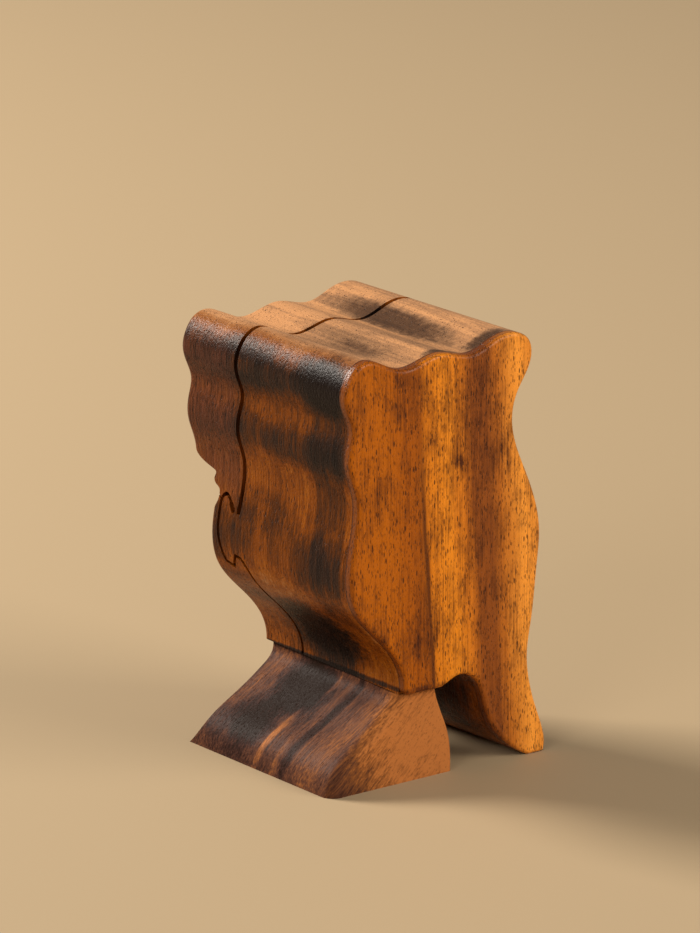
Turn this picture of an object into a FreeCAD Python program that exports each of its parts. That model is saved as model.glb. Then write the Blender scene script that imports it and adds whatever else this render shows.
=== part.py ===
import FreeCAD
import Part
import os

# A small wooden puzzle box sawn from one block, in millimetres.
# X runs across the front panel, Y runs back from it, Z is up. The origin is under the middle, on the table.

# Block
BLOCK_WIDTH = 79.0
BLOCK_DEPTH = 77.4
BLOCK_HEIGHT = 131.5
PANEL_THICKNESS = 3.2
PANEL_ROUND = 1.3
PANEL_CORNER = 2.0
BACK_ROUND = 2.0

# Left side of the front outline, from the bottom corner up over the belly and over the left lobe.
# Each point of the belly is an inset from the left limit and a height above the table.
LEFT_CORNER_INSET = 26.0
LEFT_BELLY = [(25.2, 35.0), (20.5, 42.5), (13.2, 50.0), (8.0, 57.0), (6.2, 66.0)]
# Each point of the lobe is an inset from the left limit and a drop from the top of the block.
LEFT_LOBE = [
    (9.0, 45.0), (8.5, 40.0), (6.0, 32.0), (6.2, 26.0), (7.2, 20.4), (5.2, 14.5), (4.2, 10.0), (5.6, 4.9),
    (8.6, 1.3), (12.2, 0.0), (18.3, 1.9), (26.2, 4.6),
]
# The whole outline leans to the left towards the back limit by this much
BACK_LEAN = 2.6
# Middle scallop of the top
CREST_INSET = 39.0
CREST_DROP = 2.1
# Right side, from the second dip of the top over the right lobe to the waist below it.
# Each point is an inset from the right limit and a drop from the top.
RIGHT_LOBE = [
    (28.7, 4.1), (24.2, 3.1), (19.5, 1.1), (15.0, 0.1), (10.5, 0.7), (6.8, 3.2), (5.7, 7.2), (7.1, 12.2),
    (10.9, 18.5), (12.8, 25.5), (11.5, 34.0), (7.9, 42.8),
]
# Belly, leg and arch, from below the waist round the toe of the leg to the top of the arch.
# Each point is an inset from the right limit and a height above the table.
LEG_OUTSIDE = [
    (2.4, 69.5), (3.3, 58.0), (5.2, 42.0), (6.7, 32.0), (6.0, 24.0), (3.3, 14.5), (0.8, 7.5), (0.0, 3.0), (0.6, 0.0),
]
LEG_SOLE_INSET = 6.5
ARCH_INSIDE = [(13.2, 4.0), (19.7, 10.9), (23.6, 20.5), (26.3, 27.0), (32.0, 29.9), (36.0, 28.7)]
ARCH_END_INSET = 40.0

# Seat between the body and its foot, which rises a little towards the back
SEAT_FRONT_HEIGHT = 27.4
SEAT_BACK_HEIGHT = 29.2
SEAT_GAP = 0.3

# Side contour of the back. Each point is an inset from the back limit and a height above the table.
LEDGE_HEIGHT = 92.0
LEDGE = [(0.8, 89.5), (2.6, 87.5), (5.6, 86.0), (9.6, 84.8)]
NOSE = [(10.9, 83.6), (10.4, 82.3), (11.0, 81.0), (12.6, 80.1), (13.6, 78.0)]
SHOULDER = [(13.4, 76.3), (11.9, 73.6)]
LOWER_BACK_INSET = 11.0
SHOULDER_HEIGHT = 69.5

# Saw cuts seen from the side: an inset from the back limit and a height above the table
SEAM_KERF = 1.7
LOWER_KERF = 1.1
EXIT_KERF = 0.4
SEAM_TOP_INSET = 27.2
SEAM_FOOT = (23.7, 76.8)
NOTCH = [(23.5, 74.8), (20.8, 74.8), (19.5, 76.8)]
TONGUE = [(18.4, 78.1), (16.9, 78.8), (15.6, 78.0), (14.95, 76.0)]
HOOK_BACK = [(14.9, 73.0), (14.9, 68.6), (15.7, 64.0), (17.7, 58.5)]
SEAM_EXIT = [(15.2, 76.4), (12.2, 79.4)]
BARB = (20.8, 57.4)
SLOT = [(22.7, 61.3), (25.1, 60.8)]
LOWER_CUT = [(27.2, 58.0), (28.3, 53.0), (28.9, 46.0), (29.3, 38.0), (29.5, 28.0)]

# Foot outline seen from the front: insets from the left limit and heights
FOOT_FRONT_SETBACK = 2.4
FOOT_LEFT_ROUND = 4.0
FOOT_RIGHT_ROUND = 1.0
FOOT_NECK_INSET = 25.7
FOOT_SLOPE = [(24.4, 25.0), (20.3, 21.4), (15.4, 17.4), (10.4, 13.6), (5.6, 10.0), (2.4, 6.4), (0.7, 2.8), (0.0, 0.0)]
FOOT_RIGHT_NECK_INSET = 39.0
FOOT_RIGHT = [(40.3, 22.5), (42.4, 17.1), (44.0, 12.6), (44.9, 8.0), (45.1, 0.0)]
# Back of the foot: insets from the back limit and heights
FOOT_BACK_NECK_INSET = 13.2
FOOT_BACK = [(14.1, 24.5), (13.9, 20.0), (12.4, 14.0), (10.9, 8.0), (8.5, 3.0), (6.0, 0.0)]

# Main compartment and the recess in its cover
COMPARTMENT_LEFT_INSET = 14.0
COMPARTMENT_RIGHT_INSET = 20.0
COMPARTMENT_FLOOR_HEIGHT = 80.5
COMPARTMENT_TOP_DROP = 11.5
COMPARTMENT_CORNER = 8.0
RECESS_BACK_INSET = 14.0
RECESS_FLOOR_HEIGHT = 88.0

# Hidden pocket behind the lower cover
POCKET_RIGHT_INSET = 12.0
POCKET_BOLT_WALL = 3.4
POCKET_FLOOR_HEIGHT = 36.0
POCKET_HEIGHT = 19.0
POCKET_CORNER = 4.0
POCKET_FRONT_WALL = 8.5

# Felt
FELT_THICKNESS = 1.0
FELT_MARGIN = 0.4
FELT_SETBACK = 1.5

# Disc magnets
MAGNET_DIAMETER = 5.0
MAGNET_THICKNESS = 2.5
MAGNET_SINK = 0.3
SEAM_MAGNET_DROP = 12.5
SEAM_MAGNET_LEFT_INSET = 9.0
SEAM_MAGNET_RIGHT_INSET = 14.5
LOWER_MAGNET_HEIGHT = 50.5
LOWER_MAGNET_INSETS = (21.5, 36.5)
FOOT_MAGNET_FRONT = 27.0

# Foot dowels, placed from the left limit and from the front or the back of the core
DOWEL_DIAMETER = 5.0
DOWEL_TOP_HEIGHT = 46.0
DOWEL_FOOT_DEPTH = 15.0
DOWEL_CLEARANCE = 0.1
DOWEL_BORE_SPARE = 1.0
LOCK_DOWEL_INSET = 34.5
LOCK_DOWEL_FRONT = 10.5
PLAIN_DOWEL_INSET = 30.5
PLAIN_DOWEL_BACK_WALL = 2.55
PIN_DIAMETER = 4.0
PIN_BACK_INSET = 21.5
PIN_REACH = 6.0
PIN_DEPTH = 9.0

# Locking bolt, which passes beside the front dowel through a notch in it
BOLT_DIAMETER = 8.0
BOLT_CLEARANCE = 0.1
BOLT_INSET = 39.5
BOLT_HEIGHT = 37.0
BOLT_BACK_SPARE = 4.55
BOLT_TRAVEL = 7.0
BOLT_DOWEL_GAP = 0.6
BOLT_END_SPARE = 1.0
NOTCH_CLEARANCE = 0.3
PEG_DIAMETER = 2.4
PEG_OFFSET = 2.5
PEG_BACK_FROM_TIP = 12.0
PEG_LENGTH = 14.5
PEG_SLOT_CLEARANCE = 0.4

# Spare reach of cutting shapes beyond what they cut
SPARE = 5.0

LEFT = -BLOCK_WIDTH / 2
RIGHT = BLOCK_WIDTH / 2
FRONT = -BLOCK_DEPTH / 2
BACK = BLOCK_DEPTH / 2
CORE_FRONT = FRONT + PANEL_THICKNESS
LOWER_BACK = BACK - LOWER_BACK_INSET
SEAT_SLOPE = (SEAT_BACK_HEIGHT - SEAT_FRONT_HEIGHT) / (LOWER_BACK - CORE_FRONT)
ARCH_TOP_X = RIGHT - ARCH_INSIDE[-2][0]
COMPARTMENT_LEFT = LEFT + COMPARTMENT_LEFT_INSET
COMPARTMENT_RIGHT = RIGHT - COMPARTMENT_RIGHT_INSET
COMPARTMENT_TOP = BLOCK_HEIGHT - COMPARTMENT_TOP_DROP
RECESS_BACK = BACK - RECESS_BACK_INSET
POCKET_FRONT = CORE_FRONT + POCKET_FRONT_WALL
FOOT_MAGNET_Y = CORE_FRONT + FOOT_MAGNET_FRONT
LOCK_DOWEL_X = LEFT + LOCK_DOWEL_INSET
LOCK_DOWEL_Y = CORE_FRONT + LOCK_DOWEL_FRONT
PLAIN_DOWEL_X = LEFT + PLAIN_DOWEL_INSET
CORE_BACK = BACK - LOWER_CUT[-1][0] - LOWER_KERF / 2
PLAIN_DOWEL_Y = CORE_BACK - PLAIN_DOWEL_BACK_WALL - DOWEL_DIAMETER / 2 - DOWEL_CLEARANCE
PIN_Y = BACK - PIN_BACK_INSET
BOLT_X = LEFT + BOLT_INSET
POCKET_LEFT = BOLT_X + BOLT_DIAMETER / 2 + BOLT_CLEARANCE + POCKET_BOLT_WALL
POCKET_RIGHT = RIGHT - POCKET_RIGHT_INSET
BOLT_TIP = LOCK_DOWEL_Y + DOWEL_DIAMETER / 2 + BOLT_DOWEL_GAP
PEG_X = BOLT_X + PEG_OFFSET
PEG_Y = BOLT_TIP + PEG_BACK_FROM_TIP

X_AXIS = FreeCAD.Vector(1, 0, 0)
Y_AXIS = FreeCAD.Vector(0, 1, 0)
Z_AXIS = FreeCAD.Vector(0, 0, 1)


def front_point(x, z):
    """A point of an outline seen from the front."""
    return FreeCAD.Vector(x, 0, z)


def side_point(inset, z):
    """A point of an outline seen from the side, measured in from the back limit."""
    return FreeCAD.Vector(0, BACK - inset, z)


def seat_height(y):
    """Height of the sloped seat at a depth."""
    return SEAT_FRONT_HEIGHT + SEAT_SLOPE * (y - CORE_FRONT)


def smooth(points):
    """One smooth curve through the points."""
    curve = Part.BSplineCurve()
    curve.interpolate(points)
    return curve.toShape()


def straight(points):
    """Straight edges from point to point."""
    return [Part.makeLine(a, b) for a, b in zip(points, points[1:])]


def face_of(edges):
    """The flat face inside a closed run of edges."""
    return Part.Face(Part.Wire(edges))


def along_y(face, start, end):
    """A front outline carried from one depth to another."""
    moved = face.translated(Y_AXIS * start)
    return moved.extrude(Y_AXIS * (end - start))


def along_x(face, start, end):
    """A side outline carried from one width to another."""
    moved = face.translated(X_AXIS * start)
    return moved.extrude(X_AXIS * (end - start))


def across(face):
    """A side outline carried right across the block."""
    return along_x(face, LEFT - SPARE, RIGHT + SPARE)


def box_between(low, high):
    """A box from its lowest to its highest corner."""
    size = [b - a for a, b in zip(low, high)]
    return Part.makeBox(size[0], size[1], size[2], FreeCAD.Vector(*low))


def rounded_box(low, high, radius):
    """A box whose edges along Y are rounded."""
    box = box_between(low, high)
    edges = [edge for edge in box.Edges if abs(edge.tangentAt(edge.FirstParameter).y) > 0.9]
    return box.makeFillet(radius, edges)


def edges_at_depth(solid, y):
    """Edges that lie wholly in the plane at one depth."""
    return [edge for edge in solid.Edges if max(abs(v.Y - y) for v in edge.Vertexes) < 0.001
            and abs(edge.valueAt((edge.FirstParameter + edge.LastParameter) / 2).y - y) < 0.001]


def front_outline():
    """Outline seen from the front: scalloped top, waisted sides, one leg and half an arch."""
    corner = front_point(LEFT + LEFT_CORNER_INSET, SEAT_FRONT_HEIGHT)
    left = [corner] + [front_point(LEFT + x, z) for x, z in LEFT_BELLY]
    left += [front_point(LEFT + x, BLOCK_HEIGHT - drop) for x, drop in LEFT_LOBE]
    crest = front_point(LEFT + CREST_INSET, BLOCK_HEIGHT - CREST_DROP)
    right = [front_point(RIGHT - x, BLOCK_HEIGHT - drop) for x, drop in RIGHT_LOBE]
    right += [front_point(RIGHT - x, z) for x, z in LEG_OUTSIDE]
    sole = front_point(RIGHT - LEG_SOLE_INSET, 0)
    arch_end = front_point(LEFT + ARCH_END_INSET, SEAT_FRONT_HEIGHT)
    arch = [sole] + [front_point(RIGHT - x, z) for x, z in ARCH_INSIDE] + [arch_end]
    outside = smooth(left + [crest] + right)
    return face_of([outside] + straight([right[-1], sole]) + [smooth(arch)] + straight([arch_end, corner]))


def blank(front, back):
    """The block between two depths. It was sawn at a slight tilt, so it leans to the left towards the back."""
    lean = BACK_LEAN / BLOCK_DEPTH
    face = front_outline().translated(FreeCAD.Vector(lean * (FRONT - front), front, 0))
    return face.extrude(FreeCAD.Vector(lean * (front - back), back - front, 0))


def side_outline():
    """Outline of the core and both covers seen from the side, left open behind the lower cover's flat back."""
    top = BLOCK_HEIGHT + SPARE
    front = BLOCK_DEPTH - PANEL_THICKNESS + SPARE
    ledge = [side_point(0, LEDGE_HEIGHT)] + [side_point(*p) for p in LEDGE]
    nose = [ledge[-1]] + [side_point(*p) for p in NOSE]
    shoulder = [nose[-1]] + [side_point(*p) for p in SHOULDER]
    shoulder += [side_point(LOWER_BACK_INSET, SHOULDER_HEIGHT)]
    open_inset = LOWER_BACK_INSET - SPARE
    rest = [shoulder[-1], side_point(open_inset, SHOULDER_HEIGHT), side_point(open_inset, -SPARE)]
    rest += [side_point(front, -SPARE)]
    rest += [side_point(front, top), side_point(0, top), ledge[0]]
    return face_of([smooth(ledge), smooth(nose), smooth(shoulder)] + straight(rest))


def band_side(runs, places):
    """Edges of one side of a band: each run is straight between two places and smooth through more."""
    edges = []
    start = 0
    for run in runs:
        part = places[start:start + len(run)]
        edges.append(smooth(part) if len(part) > 2 else Part.makeLine(*part))
        start += len(run) - 1
    return edges


def kerf(runs, width):
    """The wood that a saw takes along runs of points, each run starting where the one before it ends."""
    path = runs[0][:1] + [point for run in runs for point in run[1:]]
    ways = [(b - a).normalize() for a, b in zip(path, path[1:])]
    left = []
    right = []
    for point, before, after in zip(path, ways[:1] + ways, ways + ways[-1:]):
        along = (before + after).normalize()
        reach = X_AXIS.cross(along) * (width / 2 / along.dot(after))
        left.append(point + reach)
        right.append(point - reach)
    ends = straight([left[0], right[0]]) + straight([left[-1], right[-1]])
    band = Part.__sortEdges__(band_side(runs, left) + band_side(runs, right) + ends)
    return across(face_of(band))


def seam_y(z):
    """Depth of the seam's middle at a height."""
    top = BLOCK_HEIGHT + SPARE
    share = (top - z) / (top - SEAM_FOOT[1])
    return BACK - SEAM_TOP_INSET + share * (SEAM_TOP_INSET - SEAM_FOOT[0])


def lower_cut_y(z):
    """Depth of the middle of the lower cut at a height, between the points that it is drawn through."""
    for (inset_a, z_a), (inset_b, z_b) in zip(LOWER_CUT, LOWER_CUT[1:]):
        if z_b <= z <= z_a:
            return BACK - inset_b - (inset_a - inset_b) * (z - z_b) / (z_a - z_b)
    return BACK - LOWER_CUT[-1][0]


def seam_kerf():
    """Wide cut in front of the upper cover: down the seam and round the notch."""
    corners = [side_point(SEAM_TOP_INSET, BLOCK_HEIGHT + SPARE), side_point(*SEAM_FOOT)]
    corners += [side_point(*p) for p in NOTCH]
    return kerf([list(pair) for pair in zip(corners, corners[1:])], SEAM_KERF)


def exit_kerf():
    """Thin cut from behind the tongue up to the back, between the upper cover's lip and the lower cover."""
    return kerf([[side_point(*p) for p in SEAM_EXIT]], EXIT_KERF)


def lower_kerf():
    """Cut that frees the lower cover: over the tongue, down behind it, under the barb and down to the table."""
    start = [side_point(*p) for p in NOTCH[-2:]]
    hook = start[-1:] + [side_point(*p) for p in TONGUE + HOOK_BACK]
    barb = [hook[-1], side_point(*BARB)] + [side_point(*p) for p in SLOT]
    cut = [barb[-1]] + [side_point(*p) for p in LOWER_CUT]
    end = [cut[-1], side_point(LOWER_CUT[-1][0], -SPARE)]
    return kerf([start, hook] + [list(pair) for pair in zip(barb, barb[1:])] + [cut, end], LOWER_KERF)


def sawn_block(back):
    """The block behind the panel down to one back plane, its back edge rounded, cut by both saw lines."""
    body = blank(CORE_FRONT, back)
    outside = max(edges_at_depth(body, back), key=lambda edge: edge.Length)
    body = body.makeFillet(BACK_ROUND, [outside])
    return body.common(across(side_outline())).cut([seam_kerf(), lower_kerf(), exit_kerf()])


def under_seat(x_end, gap=0.0):
    """Space that lies a gap or more below the sloped seat, as far across as x_end."""
    front = CORE_FRONT - SPARE
    low = -SPARE
    ends = [(BACK, seat_height(BACK) - gap), (front, seat_height(front) - gap)]
    corners = [(front, low), (BACK, low)] + ends + [(front, low)]
    face = face_of(straight([FreeCAD.Vector(0, y, z) for y, z in corners]))
    return along_x(face, LEFT - SPARE, x_end)


def cylinder_y(diameter, x, z, start, end):
    """A round bar along Y."""
    return Part.makeCylinder(diameter / 2, end - start, FreeCAD.Vector(x, start, z), Y_AXIS)


def cylinder_z(diameter, x, y, start, end):
    """A round bar along Z."""
    return Part.makeCylinder(diameter / 2, end - start, FreeCAD.Vector(x, y, start), Z_AXIS)


def compartment(front, back, floor):
    """Space of the main compartment between two depths, above a floor."""
    low = (COMPARTMENT_LEFT, front, floor)
    high = (COMPARTMENT_RIGHT, back, COMPARTMENT_TOP)
    return rounded_box(low, high, COMPARTMENT_CORNER)


def pocket_space():
    """Space of the hidden pocket, open at the back."""
    low = (POCKET_LEFT, POCKET_FRONT, POCKET_FLOOR_HEIGHT)
    high = (POCKET_RIGHT, BACK, POCKET_FLOOR_HEIGHT + POCKET_HEIGHT)
    return rounded_box(low, high, POCKET_CORNER)


def seam_magnet_places():
    """Width and height of each magnet in the seam."""
    height = BLOCK_HEIGHT - SEAM_MAGNET_DROP
    return [(LEFT + SEAM_MAGNET_LEFT_INSET, height), (RIGHT - SEAM_MAGNET_RIGHT_INSET, height)]


def lower_magnet_places():
    """Width and height of each magnet in the lower cut."""
    return [(LEFT + inset, LOWER_MAGNET_HEIGHT) for inset in LOWER_MAGNET_INSETS]


def magnets_facing(places, depth_at, side, half_kerf, reach):
    """Discs set into one side of a cut, or their seats when reach is the length open to the cut."""
    discs = []
    for x, z in places:
        near = depth_at(z) + side * (half_kerf + MAGNET_SINK - reach)
        far = depth_at(z) + side * (half_kerf + MAGNET_SINK + MAGNET_THICKNESS)
        discs.append(cylinder_y(MAGNET_DIAMETER, x, z, min(near, far), max(near, far)))
    return discs


def foot_magnet_disc(side, reach):
    """Disc on one side of the seat, or its seat when reach is the length open to the joint."""
    level = seat_height(FOOT_MAGNET_Y) - (SEAT_GAP if side < 0 else 0)
    near = level + side * (MAGNET_SINK - reach)
    far = level + side * (MAGNET_SINK + MAGNET_THICKNESS)
    return cylinder_z(MAGNET_DIAMETER, LOCK_DOWEL_X, FOOT_MAGNET_Y, min(near, far), max(near, far))


def dowel(x, y, spare=0.0, clearance=0.0):
    """A dowel from the foot up into the core, or its bore with spare depth and clearance."""
    bottom = seat_height(y) - DOWEL_FOOT_DEPTH
    return cylinder_z(DOWEL_DIAMETER + 2 * clearance, x, y, bottom, DOWEL_TOP_HEIGHT + spare)


def locating_pin(spare=0.0, clearance=0.0):
    """Short pin from the foot into the lower cover, or its bore."""
    level = seat_height(PIN_Y)
    return cylinder_z(PIN_DIAMETER + 2 * clearance, PLAIN_DOWEL_X, PIN_Y, level - PIN_DEPTH, level + PIN_REACH + spare)


def bolt_bore():
    """Bore of the locking bolt, open at the back of the core."""
    end = BOLT_TIP - BOLT_TRAVEL - BOLT_END_SPARE
    return cylinder_y(BOLT_DIAMETER + 2 * BOLT_CLEARANCE, BOLT_X, BOLT_HEIGHT, end, BACK)


def peg_slot():
    """Slot under the core that the peg slides in."""
    half = PEG_DIAMETER / 2 + PEG_SLOT_CLEARANCE
    low = (PEG_X - half, PEG_Y - BOLT_TRAVEL - half, BOLT_HEIGHT - PEG_LENGTH)
    high = (PEG_X + half, PEG_Y + half, BOLT_HEIGHT)
    return box_between(low, high)


def make_panel():
    """Thin front panel with a rounded front edge and rounded lower corners."""
    panel = blank(FRONT, CORE_FRONT)
    corners = [edge for edge in panel.Edges if edge.BoundBox.YLength > PANEL_THICKNESS / 2
               and all(abs(v.Z - SEAT_FRONT_HEIGHT) < 0.001 for v in edge.Vertexes)]
    panel = panel.makeFillet(PANEL_CORNER, corners)
    return panel.makeFillet(PANEL_ROUND, edges_at_depth(panel, FRONT))


def make_core(block):
    """Core with the compartment, the pocket, the tongue and the leg."""
    core = min(block.Solids, key=lambda solid: solid.CenterOfMass.y)
    cuts = [compartment(CORE_FRONT - SPARE, BACK, COMPARTMENT_FLOOR_HEIGHT), pocket_space()]
    cuts += [under_seat(ARCH_TOP_X), bolt_bore(), peg_slot(), foot_magnet_disc(1, SPARE)]
    cuts += [dowel(LOCK_DOWEL_X, LOCK_DOWEL_Y, DOWEL_BORE_SPARE, DOWEL_CLEARANCE)]
    cuts += [dowel(PLAIN_DOWEL_X, PLAIN_DOWEL_Y, DOWEL_BORE_SPARE, DOWEL_CLEARANCE)]
    cuts += magnets_facing(seam_magnet_places(), seam_y, -1, SEAM_KERF / 2, SPARE)
    cuts += magnets_facing(lower_magnet_places(), lower_cut_y, -1, LOWER_KERF / 2, SPARE)
    return core.cut(cuts)


def make_upper_cover(block):
    """Upper cover, whose tip lands on the floor of the notch."""
    cover = max(block.Solids, key=lambda solid: solid.CenterOfMass.z)
    floor = NOTCH[0][1]
    low = (LEFT, BACK - NOTCH[0][0] + SEAM_KERF / 2, floor - SEAM_KERF / 2)
    high = (RIGHT, BACK - NOTCH[1][0] - SEAM_KERF / 2, floor + SEAM_KERF)
    landing = box_between(low, high).common(blank(CORE_FRONT, BACK))
    cover = cover.fuse(landing).removeSplitter()
    cuts = [compartment(CORE_FRONT, RECESS_BACK, RECESS_FLOOR_HEIGHT)]
    cuts += magnets_facing(seam_magnet_places(), seam_y, 1, SEAM_KERF / 2, SPARE)
    return cover.cut(cuts)


def make_lower_cover():
    """Lower cover with its upright tooth, its back leg and the bore of the locating pin."""
    pieces = sawn_block(LOWER_BACK).Solids
    behind = [solid for solid in pieces if solid.CenterOfMass.y > 0]
    cover = min(behind, key=lambda solid: solid.CenterOfMass.z)
    cuts = [under_seat(ARCH_TOP_X), locating_pin(DOWEL_BORE_SPARE, DOWEL_CLEARANCE)]
    cuts += magnets_facing(lower_magnet_places(), lower_cut_y, 1, LOWER_KERF / 2, SPARE)
    return cover.cut(cuts)


def make_foot():
    """Flared foot under the left of the body, with bores for its dowels, pin and magnet."""
    top = seat_height(BACK)
    slope = [front_point(LEFT + FOOT_NECK_INSET, top)] + [front_point(LEFT + x, z) for x, z in FOOT_SLOPE]
    right = [front_point(LEFT + x, z) for x, z in reversed(FOOT_RIGHT)]
    right += [front_point(LEFT + FOOT_RIGHT_NECK_INSET, top)]
    front_face = face_of([smooth(slope)] + straight([slope[-1], right[0]]) + [smooth(right)]
                         + straight([right[-1], slope[0]]))
    back = [side_point(FOOT_BACK_NECK_INSET, top)] + [side_point(*p) for p in FOOT_BACK]
    front = BLOCK_DEPTH - FOOT_FRONT_SETBACK
    rest = [back[-1], side_point(front, 0), side_point(front, top), back[0]]
    foot = along_y(front_face, FRONT + FOOT_FRONT_SETBACK, BACK)
    for side, radius in ((0, FOOT_LEFT_ROUND), (-1, FOOT_RIGHT_ROUND)):
        ends = sorted(edges_at_depth(foot, FRONT + FOOT_FRONT_SETBACK), key=lambda edge: edge.CenterOfMass.x)
        foot = foot.makeFillet(radius, [ends[side]])
    foot = foot.common(across(face_of([smooth(back)] + straight(rest))))
    foot = foot.common(under_seat(RIGHT, SEAT_GAP))
    cuts = [dowel(LOCK_DOWEL_X, LOCK_DOWEL_Y), dowel(PLAIN_DOWEL_X, PLAIN_DOWEL_Y)]
    return foot.cut(cuts + [locating_pin(), foot_magnet_disc(-1, SPARE)])


def make_lock_dowel():
    """Front dowel with a side notch that the locking bolt passes through."""
    notch = cylinder_y(BOLT_DIAMETER + 2 * NOTCH_CLEARANCE, BOLT_X, BOLT_HEIGHT, CORE_FRONT, BACK)
    return dowel(LOCK_DOWEL_X, LOCK_DOWEL_Y).cut(notch)


def make_bolt():
    """Locking bolt with a cross bore for its peg."""
    bolt = cylinder_y(BOLT_DIAMETER, BOLT_X, BOLT_HEIGHT, BOLT_TIP, CORE_BACK - BOLT_BACK_SPARE)
    return bolt.cut(make_peg())


def make_peg():
    """Finger peg that hangs from the bolt into the arch."""
    return cylinder_z(PEG_DIAMETER, PEG_X, PEG_Y, BOLT_HEIGHT - PEG_LENGTH, BOLT_HEIGHT)


def make_floor_felt():
    """Felt on the compartment's floor, between its rounded corners."""
    low = (COMPARTMENT_LEFT + COMPARTMENT_CORNER, CORE_FRONT + FELT_THICKNESS + FELT_MARGIN, COMPARTMENT_FLOOR_HEIGHT)
    back = seam_y(COMPARTMENT_FLOOR_HEIGHT) - SEAM_KERF / 2 - FELT_SETBACK
    high = (COMPARTMENT_RIGHT - COMPARTMENT_CORNER, back, COMPARTMENT_FLOOR_HEIGHT + FELT_THICKNESS)
    return box_between(low, high)


def upright_felt(front, floor):
    """Upright sheet of felt with the compartment's outline."""
    low = (COMPARTMENT_LEFT + FELT_MARGIN, front, floor + FELT_MARGIN)
    high = (COMPARTMENT_RIGHT - FELT_MARGIN, front + FELT_THICKNESS, COMPARTMENT_TOP - FELT_MARGIN)
    return rounded_box(low, high, COMPARTMENT_CORNER - FELT_MARGIN)


def make_pocket_felt():
    """Felt on the pocket's floor."""
    low = (POCKET_LEFT + POCKET_CORNER, POCKET_FRONT + FELT_MARGIN, POCKET_FLOOR_HEIGHT)
    back = lower_cut_y(POCKET_FLOOR_HEIGHT) - LOWER_KERF / 2 - FELT_SETBACK
    high = (POCKET_RIGHT - POCKET_CORNER, back, POCKET_FLOOR_HEIGHT + FELT_THICKNESS)
    return box_between(low, high)


def all_pieces():
    """Every piece of the box by name."""
    block = sawn_block(BACK)
    seam = (seam_magnet_places(), seam_y)
    lower = (lower_magnet_places(), lower_cut_y)
    return {
        "core_block": make_core(block),
        "front_panel": make_panel(),
        "compartment_floor_felt": make_floor_felt(),
        "compartment_back_felt": upright_felt(CORE_FRONT, COMPARTMENT_FLOOR_HEIGHT),
        "pocket_felt": make_pocket_felt(),
        "core_seam_magnets": Part.makeCompound(magnets_facing(*seam, -1, SEAM_KERF / 2, 0)),
        "core_lower_magnets": Part.makeCompound(magnets_facing(*lower, -1, LOWER_KERF / 2, 0)),
        "core_foot_magnet": foot_magnet_disc(1, 0),
        "upper_cover": make_upper_cover(block),
        "cover_felt": upright_felt(RECESS_BACK - FELT_THICKNESS, RECESS_FLOOR_HEIGHT),
        "cover_magnets": Part.makeCompound(magnets_facing(*seam, 1, SEAM_KERF / 2, 0)),
        "lower_cover": make_lower_cover(),
        "lower_cover_magnets": Part.makeCompound(magnets_facing(*lower, 1, LOWER_KERF / 2, 0)),
        "foot": make_foot(),
        "foot_lock_dowel": make_lock_dowel(),
        "foot_plain_dowel": dowel(PLAIN_DOWEL_X, PLAIN_DOWEL_Y),
        "foot_locating_pin": locating_pin(),
        "foot_magnet": foot_magnet_disc(-1, 0),
        "lock_bolt": make_bolt(),
        "lock_peg": make_peg(),
    }


os.makedirs("parts", exist_ok=True)
for name, shape in all_pieces().items():
    shape.exportStep("parts/%s.step" % name)
    print(name, len(shape.Solids), shape.isValid(), round(shape.Volume, 1))
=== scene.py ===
import logging
import math
from dataclasses import dataclass
from enum import Enum
from typing import Any, ClassVar, Sequence, Union

import bmesh
import bpy
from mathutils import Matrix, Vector
from mathutils import noise as nap_noise


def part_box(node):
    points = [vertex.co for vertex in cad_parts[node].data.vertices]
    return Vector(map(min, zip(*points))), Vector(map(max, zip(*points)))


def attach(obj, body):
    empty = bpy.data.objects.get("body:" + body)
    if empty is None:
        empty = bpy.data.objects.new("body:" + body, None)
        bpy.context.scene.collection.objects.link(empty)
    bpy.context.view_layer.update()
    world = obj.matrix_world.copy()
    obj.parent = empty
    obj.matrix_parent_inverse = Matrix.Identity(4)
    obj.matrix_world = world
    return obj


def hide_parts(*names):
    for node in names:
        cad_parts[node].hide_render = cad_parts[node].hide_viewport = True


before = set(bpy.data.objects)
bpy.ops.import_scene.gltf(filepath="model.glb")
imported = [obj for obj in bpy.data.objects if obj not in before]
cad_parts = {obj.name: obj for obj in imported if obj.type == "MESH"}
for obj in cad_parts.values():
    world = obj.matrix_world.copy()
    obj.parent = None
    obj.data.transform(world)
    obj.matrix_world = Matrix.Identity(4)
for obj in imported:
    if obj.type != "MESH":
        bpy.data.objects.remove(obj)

LOG = logging.getLogger("puzzle_box")
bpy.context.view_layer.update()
MM = 0.001

Colour = tuple[float, float, float]
Place = tuple[float, float, float]
Step = tuple[float, float]
Stops = Sequence[tuple[float, Colour]]
Number = Union["Value", float, int]

UP: Place = (0.0, 0.0, 1.0)
# Middle of a range from 0 to 1
MIDDLE = 0.5
# Sockets of the Mix node that carry colours
MIX_FIRST = 6
MIX_SECOND = 7
MIX_RESULT = 2


class Body(Enum):
    """Rigid bodies of the box, by their names in the frame."""

    CASE = "case"
    UPPER_COVER = "upper cover"
    LOWER_COVER = "lower cover"
    FOOT = "foot"
    LOCK = "lock"


class Hold(Enum):
    """How a sheet of felt is held where it lies."""

    LAID = "laid"
    STRETCHED = "stretched"


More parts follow.
